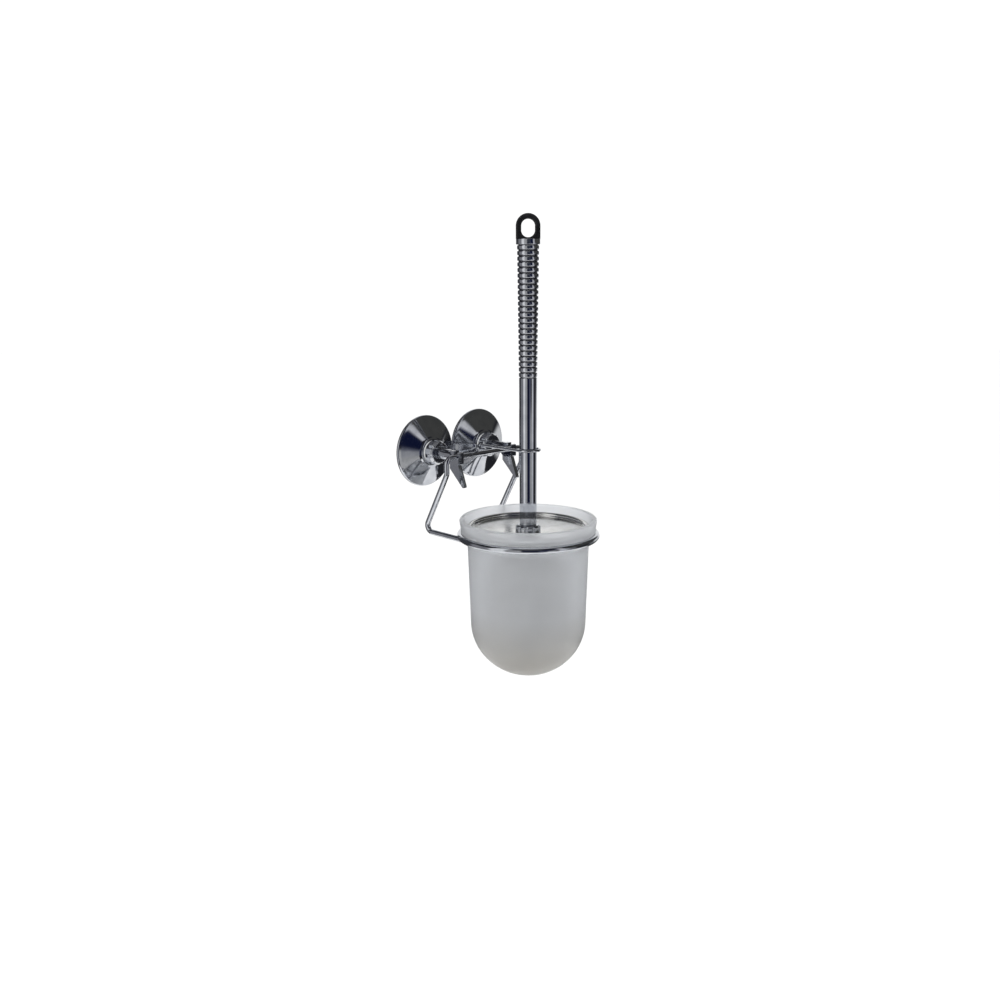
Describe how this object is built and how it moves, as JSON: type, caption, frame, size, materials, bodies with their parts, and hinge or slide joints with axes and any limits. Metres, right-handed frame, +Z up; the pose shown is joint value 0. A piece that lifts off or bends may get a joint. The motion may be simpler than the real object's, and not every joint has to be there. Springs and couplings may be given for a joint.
{
  "type": "toilet brush holder",
  "caption": "Wall-mounted toilet brush holder: suction hooks carry a chromed wire frame whose ring holds a frosted glass cup with a lidded brush.",
  "frame": {"origin": "on the wall plane, midway between the axes of the two suction hooks", "axes": "+Z up, +Y into the wall, +X along the wall to the right as seen from the room"},
  "size_m": [0.1134, 0.1433, 0.3494],
  "materials": {
    "clear_pvc": "clear, soft",
    "zinc_plated_steel": "plated",
    "chromed_steel_sheet": "mirror chrome",
    "chromed_zinc_casting": "mirror chrome",
    "chromed_wire": "mirror chrome",
    "chromed_steel_tube": "mirror chrome",
    "chromed_abs": "chrome plated",
    "polished_stainless_steel": "polished",
    "white_nylon": "matte",
    "frosted_glass": "acid etched",
    "black_abs": "gloss",
    "white_polypropylene": "satin",
    "nylon_bristle": "matte"
  },
  "bodies": {
    "wall_hooks": {"suction_cup_left": "clear_pvc", "suction_cup_right": "clear_pvc", "stud_left": "zinc_plated_steel", "stud_right": "zinc_plated_steel", "bell_cover_left": "chromed_steel_sheet", "bell_cover_right": "chromed_steel_sheet", "washer_left": "white_nylon", "washer_right": "white_nylon", "hook_left": "chromed_zinc_casting", "hook_right": "chromed_zinc_casting"},
    "nut_left": {"tension_nut_left": "chromed_zinc_casting"},
    "nut_right": {"tension_nut_right": "chromed_zinc_casting"},
    "frame": {"hanger_wire": "chromed_wire", "carrier_ring": "chromed_wire", "handle_guide": "chromed_wire"},
    "glass": {"glass_cup": "frosted_glass"},
    "brush": {"hanging_loop": "black_abs", "grip": "chromed_abs", "handle_tube": "chromed_steel_tube", "foot_plug": "white_nylon", "threaded_rod": "zinc_plated_steel", "ferrule": "chromed_zinc_casting", "lid": "polished_stainless_steel", "lid_nut": "zinc_plated_steel", "brush_core": "white_polypropylene", "bristles": "nylon_bristle", "core_tip": "white_polypropylene"}
  },
  "joints": [
    {"name": "nut_left_turn", "type": "hinge", "parent": "wall_hooks", "child": "nut_left", "pos_m": [-0.0285, -0.0166, 0], "axis": [0, -1, 0], "range_deg": [0, 360]},
    {"name": "nut_right_turn", "type": "hinge", "parent": "wall_hooks", "child": "nut_right", "pos_m": [0.0285, -0.0166, 0], "axis": [0, -1, 0], "range_deg": [0, 360]},
    {"name": "frame_lift", "type": "slide", "parent": "wall_hooks", "child": "frame", "axis": [0, 0, 1], "range_m": [0, 0.006]},
    {"name": "glass_lift", "type": "slide", "parent": "frame", "child": "glass", "axis": [0, 0, 1], "range_m": [0, 0.005]},
    {"name": "brush_lift", "type": "slide", "parent": "glass", "child": "brush", "axis": [0, 0, 1], "range_m": [0, 0.04]}
  ]
}
